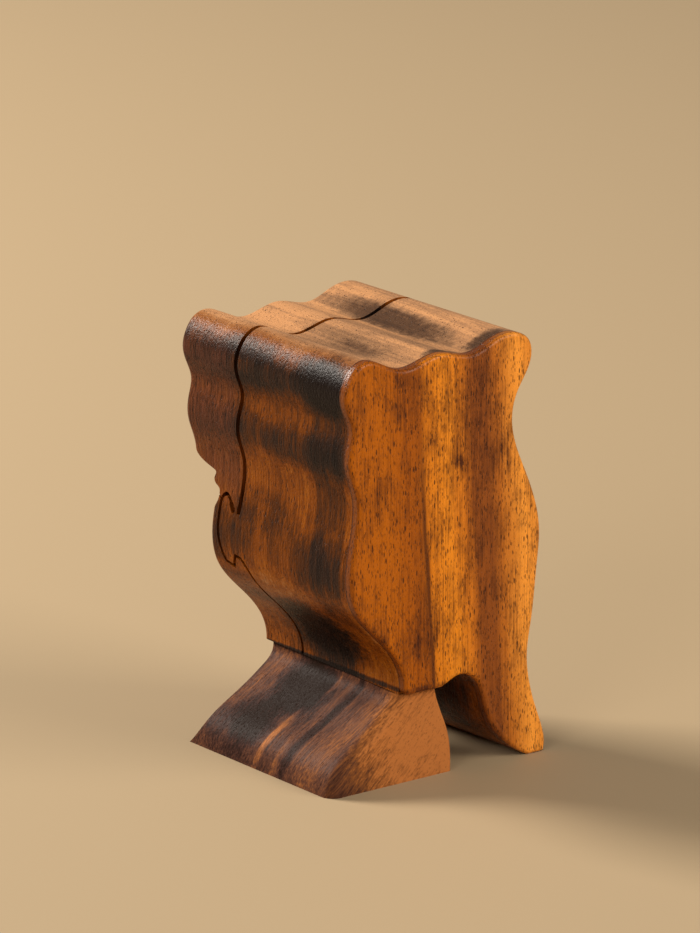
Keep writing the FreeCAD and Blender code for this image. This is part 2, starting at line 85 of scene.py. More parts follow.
class Value:
    """One output socket of a shader, on which Python's operators add Math nodes."""

    def __init__(self, shader: "Shader", socket: bpy.types.NodeSocket) -> None:
        """Wraps a socket.

        Args:
            shader: The material that the socket belongs to.
            socket: The output socket.
        """
        self.shader = shader
        self.socket = socket

    def math(self, operation: str, *others: Number) -> "Value":
        """A Math node on this value and the ones after it."""
        return self.shader.math(operation, self, *others)

    def __add__(self, other: Number) -> "Value":
        """This value plus another."""
        return self.math("ADD", other)

    def __radd__(self, other: Number) -> "Value":
        """Another value plus this one."""
        return self.math("ADD", other)

    def __sub__(self, other: Number) -> "Value":
        """This value less another."""
        return self.math("SUBTRACT", other)

    def __rsub__(self, other: Number) -> "Value":
        """Another value less this one."""
        return self.shader.math("SUBTRACT", other, self)

    def __mul__(self, other: Number) -> "Value":
        """This value times another."""
        return self.math("MULTIPLY", other)

    def __rmul__(self, other: Number) -> "Value":
        """Another value times this one."""
        return self.math("MULTIPLY", other)

    def __truediv__(self, other: Number) -> "Value":
        """This value over another."""
        return self.math("DIVIDE", other)

    def __rtruediv__(self, other: Number) -> "Value":
        """Another value over this one."""
        return self.shader.math("DIVIDE", other, self)

    def __abs__(self) -> "Value":
        """The value without its sign."""
        return self.math("ABSOLUTE")

    def most(self, other: Number) -> "Value":
        """The larger of two values."""
        return self.math("MAXIMUM", other)

    def swing(self, span: float) -> "Value":
        """This value, from 0 to 1, moved to lie around 0 and spread over a span."""
        return (self - MIDDLE) * span

    def rise(self, start: float, end: float) -> "Value":
        """A smooth step.

        Args:
            start: Where the step is 0.
            end: Where the step is 1, before or after start.

        Returns:
            The step, from 0 to 1.
        """
        settings = {"interpolation_type": "SMOOTHSTEP", "clamp": True}
        falls = float(start > end)
        inputs = {
            "Value": self,
            "From Min": min(start, end),
            "From Max": max(start, end),
            "To Min": falls,
            "To Max": 1.0 - falls,
        }
        return self.shader.node("ShaderNodeMapRange", settings, inputs)


class Shader:
    """A material whose nodes are written as expressions."""

    def __init__(self, name: str) -> None:
        """Makes an empty material with one main shader.

        Args:
            name: The material's name.
        """
        self.material = bpy.data.materials.new(name)
        self.material.use_nodes = True
        self.tree = self.material.node_tree
        self.main = self.tree.nodes["Principled BSDF"]

    def node(self, kind: str, settings: dict[str, Any], inputs: dict[Any, Any], output: Any = 0) -> Value:
        """Adds any node.

        Args:
            kind: The node's type.
            settings: Its settings, set first. "stops" fills a colour ramp.
            inputs: Its socket values or links, by name or number.
            output: The output to hand back, by name or number.

        Returns:
            The chosen output.
        """
        made = self.tree.nodes.new(kind)
        for key, setting in settings.items():
            if key == "stops":
                self.fill_ramp(made, setting)
            else:
                setattr(made, key, setting)
        for key, given in inputs.items():
            self.fill_socket(made.inputs[key], given)
        return Value(self, made.outputs[output])

    def fill_socket(self, socket: bpy.types.NodeSocket, given: Any) -> None:
        """Links a socket or sets its value.

        Args:
            socket: The input socket.
            given: A value of this shader, or a plain number, vector or colour.
        """
        if isinstance(given, Value):
            self.tree.links.new(given.socket, socket)
        else:
            socket.default_value = given

    @staticmethod
    def fill_ramp(made: bpy.types.Node, stops: Stops) -> None:
        """Sets the stops of a colour ramp.

        Args:
            made: The ramp's node.
            stops: Each stop's place and colour, in order.
        """
        marks = made.color_ramp.elements
        while len(marks) < len(stops):
            marks.new(1.0)
        for mark, (place, colour) in zip(marks, stops):
            mark.position = place
            mark.color = (*colour, 1.0)

    def math(self, operation: str, *values: Number) -> Value:
        """A Math node on values and numbers."""
        return self.node("ShaderNodeMath", {"operation": operation}, dict(enumerate(values)))

    def place(self) -> Value:
        """The place on the object, in metres, in the piece's own frame."""
        return self.node("ShaderNodeTexCoord", {}, {}, "Object")

    def dot(self, vector: Value, way: Place) -> Value:
        """The dot product of a vector and a direction."""
        settings = {"operation": "DOT_PRODUCT"}
        return self.node("ShaderNodeVectorMath", settings, {0: vector, 1: way}, "Value")

    def along(self, place: Value, way: Place) -> Value:
        """How far a place in metres lies along a direction of length 1, in millimetres."""
        return self.dot(place, tuple(part / MM for part in way))

    def facing(self, way: Place) -> Value:
        """How far the surface faces a direction of length 1, from -1 to 1."""
        return self.dot(self.node("ShaderNodeTexCoord", {}, {}, "Normal"), way)

    def paced(self, at: Sequence[Value], pace: Place) -> Value:
        """A vector from three values, each scaled by its own pace."""
        scaled = [value * share for value, share in zip(at, pace)]
        return self.node("ShaderNodeCombineXYZ", {}, dict(enumerate(scaled)))

    def cells(self, at: Value) -> tuple[Value, Value]:
        """Scattered cells.

        Args:
            at: Where they are read, already scaled.

        Returns:
            The distance to the nearest cell's middle, and a value from 0 to 1 of that cell's own.
        """
        near = self.node("ShaderNodeTexVoronoi", {}, {"Vector": at, "Scale": 1.0}, "Distance")
        colour = near.socket.node.outputs["Color"]
        own = self.node("ShaderNodeSeparateColor", {}, {0: Value(self, colour)})
        return near, own

    def ramp(self, factor: Value, stops: Stops) -> Value:
        """A colour from a ramp."""
        return self.node("ShaderNodeValToRGB", {"stops": stops}, {0: factor})

    def mix(self, factor: Number, first: Any, second: Any) -> Value:
        """A mix of two colours.

        Args:
            factor: The share of the second.
            first: A colour or a colour's socket.
            second: The same.

        Returns:
            The mixed colour.
        """
        settings = {"data_type": "RGBA", "blend_type": "MIX", "clamp_factor": True}
        inputs = {0: factor}
        for key, colour in ((MIX_FIRST, first), (MIX_SECOND, second)):
            inputs[key] = (*colour, 1.0) if isinstance(colour, tuple) else colour
        return self.node("ShaderNodeMix", settings, inputs, MIX_RESULT)

    def bump(self, height: Value, strength: float, distance: float) -> Value:
        """A normal that follows a height.

        Args:
            height: The height, from 0 to 1.
            strength: The bump's strength.
            distance: The depth of the height's full range, in metres.

        Returns:
            The normal.
        """
        inputs = {"Height": height, "Strength": strength, "Distance": distance}
        return self.node("ShaderNodeBump", {}, inputs)

    def feed(self, **sockets: Any) -> None:
        """Sets or links the main shader's sockets, written with _ for a space."""
        for name, given in sockets.items():
            self.fill_socket(self.main.inputs[name.replace("_", " ")], given)


# Figure, pores and patches


@dataclass(frozen=True)
class Figure:
    """Cloudy noise in a material, with its own pace per millimetre along each of three ways."""

    pace: Place
    detail: float
    rough: float = 0.5

    def read(self, at: Sequence[Value]) -> Value:
        """Reads the noise.

        Args:
            at: The place in millimetres, as three values.

        Returns:
            The noise at that place, from 0 to 1.
        """
        shader = at[0].shader
        where = shader.paced(at, self.pace)
        inputs = {"Vector": where, "Scale": 1.0, "Detail": self.detail, "Roughness": self.rough}
        return shader.node("ShaderNodeTexNoise", {}, inputs)


@dataclass(frozen=True)
class Grain:
    """Directions of a piece of wood: across the layers, along the layers and along the fibres."""

    across: Place
    layer: Place
    fibre: Place

    def read(self, place: Value) -> tuple[Value, Value, Value]:
        """Coordinates of a place in the wood.

        Args:
            place: The place in metres.

        Returns:
            Distances across the layers, along them and along the fibres, in millimetres.
        """
        shader = place.shader
        across = shader.along(place, self.across)
        layer = shader.along(place, self.layer)
        return across, layer, shader.along(place, self.fibre)


@dataclass(frozen=True)
class Patch:
    """A soft-edged area made darker or lighter, in millimetres: wood figure, and in some places painted
    shade.
    """

    middle: Place
    reach: Place
    lift: float
    fray: float = 1.5
    edge: float = 1.45

    def mask(self, at: Sequence[Value], ragged: Value) -> Value:
        """The patch's strength.

        Args:
            at: The place in millimetres, as three values.
            ragged: A noise from 0 to 1 that frays the edge.

        Returns:
            The lift at that place.
        """
        total: Number = 0.0
        for value, middle, reach in zip(at, self.middle, self.reach):
            offset = (value - middle) * (1.0 / reach)
            total = offset * offset + total
        return (total + ragged.swing(self.fray)).rise(self.edge, 0.0) * self.lift


@dataclass(frozen=True)
class PoreSet:
    """Open pores: short dark dashes along the fibres."""

    pace: Place
    radius: float
    depth: float
    least_size: float = 0.35
    full_within: float = 0.55
    faintest: float = 0.4

    def mask(self, at: Sequence[Value]) -> Value:
        """Where the pores are.

        Args:
            at: The place across the layers, along them and along the fibres.

        Returns:
            Up to 1 inside a pore and 0 outside.
        """
        shader = at[0].shader
        near, own = shader.cells(shader.paced(at, self.pace))
        size = own * self.radius + self.radius * self.least_size
        strength = own * (1.0 - self.faintest) + self.faintest
        return (near / size).rise(1.0, self.full_within) * strength


UPRIGHT = Grain((1.0, 0.0, 0.0), (0.0, 1.0, 0.0), UP)
DOWN_SLOPE = Grain((0.14, 0.98, 0.14), (-0.707, 0.0, 0.707), (-0.693, 0.2, -0.693))


# Finishes


@dataclass(frozen=True)
class OiledWood:
    """Oiled, sanded hardwood with a satin sheen."""

    name: str
    grain: Grain
    pores: tuple[PoreSet, ...]
    pore_colour: Colour
    roughness: float = 0.3
    shine: float = 0.17
    grit: float = 0.5
    patches: tuple[Patch, ...] = ()
    fibre_figure: Figure = Figure((1.7, 1.7, 0.06), 4.0, 0.6)
    grit_figure: Figure = Figure((1.6, 1.6, 1.1), 3.0, 0.6)
    fibre_relief: float = 0.35
    fibre_roughness: float = 0.2
    grit_roughness: float = 0.3
    pore_roughness: float = 0.25
    bump_strength: float = 0.6
    bump_depth: float = 0.3 * MM

    def colour(self, shader: Shader, xyz: Sequence[Value], at: Sequence[Value], fibres: Value) -> Value:
        """The wood's colour before its pores.

        Args:
            shader: The material.
            xyz: The place in the object, in millimetres.
            at: The place in the wood.
            fibres: Fine fibre noise from 0 to 1.

        Returns:
            The colour.
        """
        raise NotImplementedError

    def build(self) -> bpy.types.Material:
        """Makes the material.

        Returns:
            The material.
        """
        shader = Shader(self.name)
        place = shader.place()
        xyz = UPRIGHT.read(place)
        at = self.grain.read(place)
        fibres = self.fibre_figure.read(at)
        grit = self.grit_figure.read(xyz)
        colour = self.colour(shader, xyz, at, fibres)
        pores: Number = 0.0
        for pore_set in self.pores:
            pores = (pore_set.mask(at) * pore_set.depth).most(pores)
        height = fibres * self.fibre_relief + grit * self.grit - pores
        uneven = fibres.swing(self.fibre_roughness) + grit.swing(self.grit_roughness)
        shader.feed(
            Base_Color=shader.mix(pores, colour, self.pore_colour),
            Roughness=uneven + pores * self.pore_roughness + self.roughness,
            Normal=shader.bump(height, self.bump_strength, self.bump_depth),
            Specular_IOR_Level=self.shine,
        )
        return shader.material


@dataclass(frozen=True)
class BlockWood(OiledWood):
    """Dark streaky wood of the block, in upright layers that the shaped left side cuts through."""

    tones: Stops = (
        (0.0, (0.009, 0.005, 0.004)),
        (0.2, (0.027, 0.012, 0.007)),
        (0.4, (0.077, 0.021, 0.003)),
        (0.6, (0.185, 0.046, 0.003)),
        (0.8, (0.3, 0.088, 0.006)),
        (1.0, (0.43, 0.215, 0.092)),
    )
    # Paler tones for what faces up near the top: the end grain's tan, lifted by painted sheen from the
    # light above.
    top_grain_and_sheen_tones: Stops = (
        (0.0, (0.02, 0.012, 0.009)),
        (0.4, (0.1, 0.05, 0.026)),
        (0.7, (0.26, 0.135, 0.066)),
        (0.88, (0.4, 0.2, 0.092)),
        (1.0, (0.56, 0.275, 0.118)),
    )
    base_tone: float = 0.215
    cloud: Figure = Figure((0.05, 0.05, 0.025), 3.0, 0.55)
    ragged: Figure = Figure((0.45, 0.45, 0.12), 5.0, 0.7)
    streaks: Figure = Figure((0.3, 0.1, 0.012), 4.0, 0.6)
    rows: Figure = Figure((0.12, 0.8, 0.02), 4.0, 0.65)
    top_lines: Figure = Figure((0.7, 0.03, 0.02), 4.0, 0.6)
    streak_span: float = 0.8
    row_span: float = 0.45
    fibre_span: float = 0.6
    # The layers, measured from the block's left limit
    limit: float = 39.5
    front: float = 38.7
    lean: float = 0.034
    wander: float = 4.0
    outer_step: Step = (4.6, 8.6)
    outer_lift: float = 0.4
    # The paler tan on what faces up near the top: partly the end grain's own tone, partly painted sheen
    # from the light above
    top_inset: Step = (5.0, 15.0)
    top_height: Step = (112.0, 120.0)
    top_facing: Step = (0.25, 0.8)
    top_grain_and_sheen_lift: float = 0.3
    top_calm: float = 0.65
    top_line_span: float = 0.55
    # The plum skin of the upper cover
    plum: Colour = (0.12, 0.038, 0.02)
    plum_dark: Colour = (0.03, 0.011, 0.006)
    plum_back: Step = (12.0, 19.0)
    plum_bottom: Step = (72.0, 86.0)
    plum_top: Step = (129.0, 121.0)
    plum_share: float = 0.65
    plum_fibre_span: float = 2.6
    plum_ragged_span: float = 1.4

    def colour(self, shader: Shader, xyz: Sequence[Value], at: Sequence[Value], fibres: Value) -> Value:
        """Dark outer layers, orange ones under them, a paler tan on what faces up near the top, partly end
        grain and partly painted sheen, and patches of painted shade under the belly, along the seat and
        inside the arch.

        Args:
            shader: The material.
            xyz: The place in the object, in millimetres.
            at: The place in the wood; not used here.
            fibres: Fine fibre noise from 0 to 1.

        Returns:
            The colour.
        """
        x, y, z = xyz
        ragged = self.ragged.read(xyz)
        level = x + (y + self.front) * self.lean + self.limit
        inset = level + self.cloud.read(xyz).swing(self.wander)
        outer = inset.rise(*self.outer_step) * self.outer_lift
        # Faces that look up near the top: end grain, lightened with painted sheen.
        top = inset.rise(*self.top_inset) * z.rise(*self.top_height)
        top = top * shader.facing(UP).rise(*self.top_facing)
        streaks = self.streaks.read((inset, y, z)).swing(self.streak_span)
        rows = self.rows.read(xyz).swing(self.row_span)
        figure = streaks + rows + fibres.swing(self.fibre_span)
        lines = self.top_lines.read(xyz).swing(self.top_line_span) * top
        tone = outer + top * self.top_grain_and_sheen_lift + figure * (1.0 - top * self.top_calm) + lines + self.base_tone
        for patch in self.patches:
            tone = tone + patch.mask(xyz, ragged)
        speckle = fibres.swing(self.plum_fibre_span) + ragged.swing(self.plum_ragged_span) + MIDDLE
        skin = shader.mix(speckle, self.plum_dark, self.plum)
        band = y.rise(*self.plum_back) * z.rise(*self.plum_bottom) * z.rise(*self.plum_top)
        sides = shader.mix(band * self.plum_share, shader.ramp(tone, self.tones), skin)
        return shader.mix(top, sides, shader.ramp(tone, self.top_grain_and_sheen_tones))


@dataclass(frozen=True)
class PanelWood(OiledWood):
    """Orange-brown sheet with upright bands that lean a little."""

    bands: Stops = (
        (-39.0, (0.24, 0.055, 0.004)),
        (-31.0, (0.44, 0.112, 0.003)),
        (-20.0, (0.46, 0.118, 0.003)),
        (-11.0, (0.38, 0.092, 0.003)),
        (-6.5, (0.33, 0.082, 0.004)),
        (-3.5, (0.68, 0.2, 0.009)),
        (4.0, (0.83, 0.265, 0.015)),
        (9.5, (0.62, 0.18, 0.012)),
        (13.5, (0.28, 0.073, 0.009)),
        (19.0, (0.25, 0.066, 0.01)),
        (23.0, (0.48, 0.14, 0.014)),
        (31.0, (0.94, 0.345, 0.042)),
        (38.0, (0.66, 0.22, 0.026)),
    )
    dark: Colour = (0.07, 0.017, 0.005)
    sway: Figure = Figure((0.03, 0.05, 0.02), 2.0)
    fray: Figure = Figure((0.6, 0.3, 0.03), 4.0, 0.65)
    cloud: Figure = Figure((0.08, 0.05, 0.05), 4.0, 0.6)
    mottle: Figure = Figure((0.35, 0.2, 0.16), 5.0, 0.7)
    half_width: float = 40.0
    lean: float = 0.059
    lean_height: float = 66.0
    sway_span: float = 4.0
    fray_span: float = 4.5
    # How much each figure darkens the bands
    cloud_step: Step = (0.62, 0.3)
    cloud_share: float = 0.45
    fibre_span: float = -2.0
    mottle_span: float = -1.6
    # The dark line in the lower half
    line: float = -5.3
    line_fray: float = 1.2
    line_width: Step = (1.5, 0.1)
    line_height: Step = (120.0, 76.0)
    line_share: float = 0.85
    # The sheet's darker edge, and the glue line behind it
    edge_step: Step = (-38.2, -37.4)
    edge_share: float = 0.7
    glue_step: Step = (-36.2, -35.9)
    glue_share: float = 0.25

    def colour(self, shader: Shader, xyz: Sequence[Value], at: Sequence[Value], fibres: Value) -> Value:
        """Bands across the sheet, frayed and clouded, with painted shade along its bottom edge at the
        seat.

        Args:
            shader: The material.
            xyz: The place in the object, in millimetres.
            at: The place in the wood; not used here.
            fibres: Fine fibre noise from 0 to 1.

        Returns:
            The colour.
        """
        x, y, z = xyz
        fray = self.fray.read(xyz)
        mottle = self.mottle.read(xyz)
        slid = x + (z - self.lean_height) * self.lean + self.sway.read(xyz).swing(self.sway_span)
        scale = MIDDLE / self.half_width
        stops = [(place * scale + MIDDLE, colour) for place, colour in self.bands]
        banded = shader.ramp((slid + fray.swing(self.fray_span)) * scale + MIDDLE, stops)
        cloud = self.cloud.read(xyz).rise(*self.cloud_step) * self.cloud_share
        dark = cloud + fibres.swing(self.fibre_span) + mottle.swing(self.mottle_span)
        for patch in self.patches:
            dark = dark + patch.mask(xyz, mottle)
        off_line = abs(slid - self.line + fray.swing(self.line_fray))
        line = off_line.rise(*self.line_width) * z.rise(*self.line_height) * self.line_share
        side = y.rise(*self.edge_step) * self.edge_share + y.rise(*self.glue_step) * self.glue_share
        return shader.mix(dark.most(line).most(side), banded, self.dark)


@dataclass(frozen=True)
class FootWood(OiledWood):
    """Plum-brown wood of the foot, its fibres running down the slope."""

    tones: Stops = (
        (0.0, (0.014, 0.006, 0.003)),
        (0.25, (0.036, 0.015, 0.011)),
        (0.5, (0.105, 0.04, 0.021)),
        (0.75, (0.24, 0.085, 0.025)),
        (1.0, (0.48, 0.17, 0.045)),
    )
    base_tone: float = 0.44
    lines: tuple[Patch, ...] = ()
    ragged: Figure = Figure((0.7, 0.7, 0.35), 6.0, 0.8)
    streaks: Figure = Figure((0.16, 0.16, 0.008), 3.0, 0.55)
    streak_span: float = 0.6
    fibre_span: float = 1.0

    def colour(self, shader: Shader, xyz: Sequence[Value], at: Sequence[Value], fibres: Value) -> Value:
        """Long streaks down the slope with a dark cloud in the middle of it, and painted shade along its
        top under the body.

        Args:
            shader: The material.
            xyz: The place in the object, in millimetres.
            at: The place in the wood.
            fibres: Fine fibre noise from 0 to 1.

        Returns:
            The colour.
        """
        ragged = self.ragged.read(at)
        streaks = self.streaks.read(at).swing(self.streak_span)
        tone = streaks + fibres.swing(self.fibre_span) + self.base_tone
        for line in self.lines:
            tone = tone + line.mask(at, ragged)
        for patch in self.patches:
            tone = tone + patch.mask(xyz, ragged)
        return shader.ramp(tone, self.tones)


@dataclass(frozen=True)
class PaleWood(OiledWood):
    """Bare pale dowel wood."""

    light: Colour = (0.52, 0.34, 0.17)
    dark: Colour = (0.33, 0.19, 0.085)
    streaks: Figure = Figure((0.8, 0.8, 0.03), 3.0)
    streak_share: float = 0.7
    fibre_share: float = 0.5
    dark_step: Step = (0.3, 1.0)

    def colour(self, shader: Shader, xyz: Sequence[Value], at: Sequence[Value], fibres: Value) -> Value:
        """Faint straight streaks.

        Args:
            shader: The material.
            xyz: The place in the object, in millimetres; not used here.
            at: The place in the wood.
            fibres: Fine fibre noise from 0 to 1.

        Returns:
            The colour.
        """
        factor = self.streaks.read(at) * self.streak_share + fibres * self.fibre_share
        return shader.mix(factor.rise(*self.dark_step), self.light, self.dark)


@dataclass(frozen=True)
class Felt:
    """Dense wool felt."""

    name: str = "wine_felt"
    light: Colour = (0.155, 0.026, 0.024)
    dark: Colour = (0.06, 0.009, 0.009)
    mottle: Figure = Figure((0.35, 0.35, 0.35), 4.0, 0.65)
    hairs: Figure = Figure((5.0, 5.0, 5.0), 5.0, 0.75)
    mottle_share: float = 0.55
    hair_share: float = 0.65
    light_step: Step = (0.3, 0.95)
    roughness: float = 0.95
    sheen: float = 0.15
    sheen_roughness: float = 0.5
    shine: float = 0.2
    bump_strength: float = 0.8
    bump_depth: float = 0.3 * MM

    def build(self) -> bpy.types.Material:
        """Makes the material.

        Returns:
            The material.
        """
        shader = Shader(self.name)
        xyz = UPRIGHT.read(shader.place())
        hairs = self.hairs.read(xyz)
        factor = self.mottle.read(xyz) * self.mottle_share + hairs * self.hair_share
        shader.feed(
            Base_Color=shader.mix(factor.rise(*self.light_step), self.dark, self.light),
            Roughness=self.roughness,
            Normal=shader.bump(hairs, self.bump_strength, self.bump_depth),
            Sheen_Weight=self.sheen,
            Sheen_Roughness=self.sheen_roughness,
            Specular_IOR_Level=self.shine,
        )
        return shader.material


@dataclass(frozen=True)
class Nickel:
    """Nickel plating on pressed magnet discs."""

    name: str = "nickel_plate"
    bright: Colour = (0.72, 0.7, 0.66)
    dull: Colour = (0.5, 0.485, 0.46)
    smear: Figure = Figure((0.7, 0.7, 0.7), 3.0, 0.6)
    rub: Figure = Figure((7.0, 7.0, 7.0), 3.0, 0.7)
    dull_step: Step = (0.3, 0.75)
    roughness: float = 0.12
    smear_roughness: float = 0.2
    rub_roughness: float = 0.12
    bump_strength: float = 0.1
    bump_depth: float = 0.1 * MM

    def build(self) -> bpy.types.Material:
        """Makes the material.

        Returns:
            The material.
        """
        shader = Shader(self.name)
        xyz = UPRIGHT.read(shader.place())
        smear = self.smear.read(xyz)
        rub = self.rub.read(xyz)
        shader.feed(
            Base_Color=shader.mix(smear.rise(*self.dull_step), self.bright, self.dull),
            Metallic=1.0,
            Roughness=smear * self.smear_roughness + rub * self.rub_roughness + self.roughness,
            Normal=shader.bump(rub, self.bump_strength, self.bump_depth),
        )
        return shader.material


BLOCK_WOOD = BlockWood(
    "block_wood",
    UPRIGHT,
    pores=(PoreSet((1.3, 1.3, 0.32), 0.27, 0.8), PoreSet((2.3, 2.3, 0.6), 0.25, 0.5)),
    pore_colour=(0.012, 0.007, 0.005),
    shine=0.062,
    grit=0.9,
    patches=(
        Patch((-34.0, -27.0, 84.0), (15.0, 11.0, 52.0), -0.24),
        Patch((-34.0, -26.0, 124.0), (13.0, 13.0, 8.0), -0.24),
        Patch((-34.0, -14.0, 101.0), (8.0, 18.0, 6.0), -0.14),
        Patch((-34.0, 2.0, 78.0), (10.0, 16.0, 7.0), -0.16),
        # Painted shade under the belly of the body, just above the seat.
        Patch((-26.0, -6.0, 38.0), (20.0, 19.0, 14.0), -0.68),
        # Painted shade along the seat, in the gap where the body sits on the foot.
        Patch((-16.0, 0.0, 28.6), (26.0, 60.0, 1.0), -0.5),
        Patch((-31.0, 3.0, 60.0), (11.0, 16.0, 12.0), 0.14),
        Patch((-32.0, 0.0, 111.0), (9.0, 20.0, 6.0), 0.04),
        Patch((-31.0, -6.0, 89.0), (9.0, 20.0, 6.0), 0.04),
        Patch((-28.0, -35.5, 60.0), (18.0, 3.0, 60.0), 0.2),
        Patch((13.0, 4.0, 129.0), (6.0, 34.0, 7.0), -0.6),
        Patch((2.0, -10.0, 131.0), (3.0, 60.0, 12.0), -0.16),
        Patch((-8.0, 8.0, 131.0), (3.0, 60.0, 12.0), -0.12),
        # Painted shade inside the arch.
        Patch((10.0, 0.0, 14.0), (15.0, 60.0, 16.0), -0.3),
        Patch((20.0, -34.5, 127.0), (9.0, 4.0, 8.0), -0.65),
        Patch((2.0, -35.0, 129.0), (7.0, 2.5, 6.0), -0.55),
        Patch((-12.0, -12.0, 130.0), (4.0, 14.0, 6.0), -0.22),
        Patch((-16.0, -8.0, 130.0), (14.0, 22.0, 9.0), -0.2),
        Patch((-6.0, 27.0, 130.0), (30.0, 14.0, 9.0), 0.14),
    ),
)
PANEL_WOOD = PanelWood(
    "panel_wood",
    UPRIGHT,
    pores=(PoreSet((1.4, 1.4, 0.36), 0.3, 0.85), PoreSet((2.3, 2.3, 0.55), 0.34, 0.7)),
    pore_colour=(0.03, 0.008, 0.003),
    patches=(
        Patch((10.0, -38.0, 106.0), (17.0, 20.0, 24.0), 0.36),
        Patch((-12.0, -38.0, 118.0), (12.0, 20.0, 10.0), 0.3),
        Patch((-12.0, -38.0, 45.0), (9.0, 20.0, 9.0), 0.35),
        Patch((28.0, -38.0, 118.0), (9.0, 20.0, 10.0), -0.3),
        # Painted shade along the panel's bottom edge at the seat; a positive lift darkens the panel.
        Patch((-10.0, -38.0, 28.6), (16.0, 20.0, 1.0), 0.5),
    ),
)
FOOT_WOOD = FootWood(
    "foot_wood",
    DOWN_SLOPE,
    pores=(PoreSet((1.7, 1.7, 0.42), 0.25, 0.5), PoreSet((2.8, 2.8, 0.65), 0.25, 0.4)),
    pore_colour=(0.02, 0.01, 0.007),
    roughness=0.45,
    shine=0.025,
    patches=(
        Patch((-19.0, 2.0, 21.0), (11.0, 12.0, 10.0), -0.7),
        Patch((-30.0, 10.0, 12.0), (10.0, 11.0, 9.0), -0.4),
        Patch((-36.0, 16.0, 6.0), (12.0, 17.0, 9.0), -0.2),
        Patch((-4.0, -38.5, 13.0), (30.0, 8.0, 28.0), 0.62),
        # Painted shade along the foot's top, under the overhanging body.
        Patch((-16.0, 0.0, 28.6), (26.0, 60.0, 1.0), -0.4),
        Patch((5.0, -34.0, 10.0), (4.0, 12.0, 16.0), 0.3),
    ),
    lines=(
        Patch((-4.5, 0.0, 17.0), (1.7, 90.0, 14.0), 0.4),
        Patch((-7.4, 0.0, -5.0), (1.2, 90.0, 7.0), 0.3),
        Patch((-12.5, 0.0, 20.0), (1.1, 90.0, 9.0), 0.24),
        Patch((-16.8, 0.0, 8.0), (2.2, 90.0, 30.0), -0.34),
        Patch((-29.0, 0.0, 8.0), (6.5, 90.0, 28.0), 0.13),
    ),
)
DOWEL_WOOD = PaleWood(
    "dowel_wood",
    UPRIGHT,
    pores=(PoreSet((2.2, 2.2, 0.25), 0.2, 0.4),),
    pore_colour=(0.2, 0.11, 0.05),
    roughness=0.55,
    shine=0.3,
    grit=0.0,
)


@dataclass(frozen=True)
class Stock:
    """The materials that the pieces are made of."""

    block: bpy.types.Material
    dowel: bpy.types.Material
    nickel: bpy.types.Material
    felt: bpy.types.Material
    panel: bpy.types.Material
    foot: bpy.types.Material

    @classmethod
    def build(cls) -> "Stock":
        """Makes each material once."""
        finishes = (BLOCK_WOOD, DOWEL_WOOD, Nickel(), Felt(), PANEL_WOOD, FOOT_WOOD)
        return cls(*(finish.build() for finish in finishes))


# Pieces of the box


def new_object(name: str, data: Any) -> bpy.types.Object:
    """Puts an object into the scene.

    Args:
        name: The object's name.
        data: Its mesh, lamp or camera.

    Returns:
        The object.
    """
    made = bpy.data.objects.new(name, data)
    bpy.context.scene.collection.objects.link(made)
    return made


